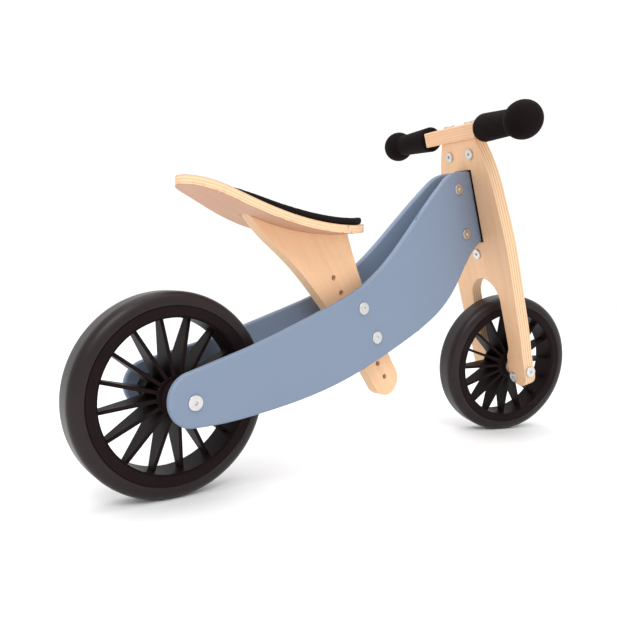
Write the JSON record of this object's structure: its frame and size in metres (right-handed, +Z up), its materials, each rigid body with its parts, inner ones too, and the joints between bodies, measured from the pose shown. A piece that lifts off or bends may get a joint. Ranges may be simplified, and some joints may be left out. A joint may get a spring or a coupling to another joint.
{
  "type": "balance bike",
  "caption": "Child's wooden balance bike with painted plywood side panels, a plywood fork and seat, black foam grips and solid tyres.",
  "frame": {"origin": "on the ground under the rear axle, in the middle plane of the frame", "axes": "+X forward, +Y to the rider's left, +Z up"},
  "size_m": [0.7264, 0.3277, 0.4514],
  "materials": {
    "blue_panel": "satin paint on plywood",
    "plywood": "clear satin lacquer",
    "black_plastic": "satin moulded plastic",
    "tyre": "matt rubber",
    "grip_foam": "matt foam rubber",
    "pad_cover": "matt cover",
    "steel": "zinc plated"
  },
  "bodies": {
    "frame": {"right_side_panel": "blue_panel", "left_side_panel": "blue_panel", "head_block": "black_plastic", "head_bolts": "steel", "head_cap_nuts": "steel", "seat_bolts": "steel", "seat_cap_nuts": "steel", "seat_spacers": "black_plastic", "seat_post": "plywood", "seat_board": "plywood", "seat_screws": "steel", "seat_pad": "pad_cover", "rear_axle": "steel", "rear_axle_bolts": "steel", "rear_spacers": "black_plastic", "rear_washers": "steel"},
    "fork": {"fork_board": "plywood", "handlebar": "plywood", "handlebar_bolts": "steel", "bar_cross_nuts": "steel", "right_grip": "grip_foam", "left_grip": "grip_foam", "steering_pin": "steel", "steering_cross_nut": "steel", "steering_washers": "black_plastic", "front_axle": "steel", "front_axle_bolts": "steel", "leg_bolts": "steel", "leg_cap_nuts": "steel", "front_washers": "steel"},
    "rear_wheel": {"rear_tyre": "tyre", "rear_rim": "black_plastic", "rear_spokes": "black_plastic", "rear_hub": "black_plastic", "rear_bushes": "black_plastic"},
    "front_wheel": {"front_tyre": "tyre", "front_rim": "black_plastic", "front_spokes": "black_plastic", "front_hub": "black_plastic", "front_bushes": "black_plastic"}
  },
  "joints": [
    {"name": "steering", "type": "hinge", "parent": "frame", "child": "fork", "pos_m": [0.528, 0, 0.1], "axis": [-0.3256, 0, 0.9455], "range_deg": [-10, 46]},
    {"name": "rear_wheel_spin", "type": "hinge", "parent": "frame", "child": "rear_wheel", "pos_m": [0, 0, 0.1], "axis": [0, 1, 0], "continuous": true},
    {"name": "front_wheel_spin", "type": "hinge", "parent": "fork", "child": "front_wheel", "pos_m": [0.528, 0, 0.1], "axis": [0.2922, 0.9511, 0.1006], "continuous": true}
  ]
}
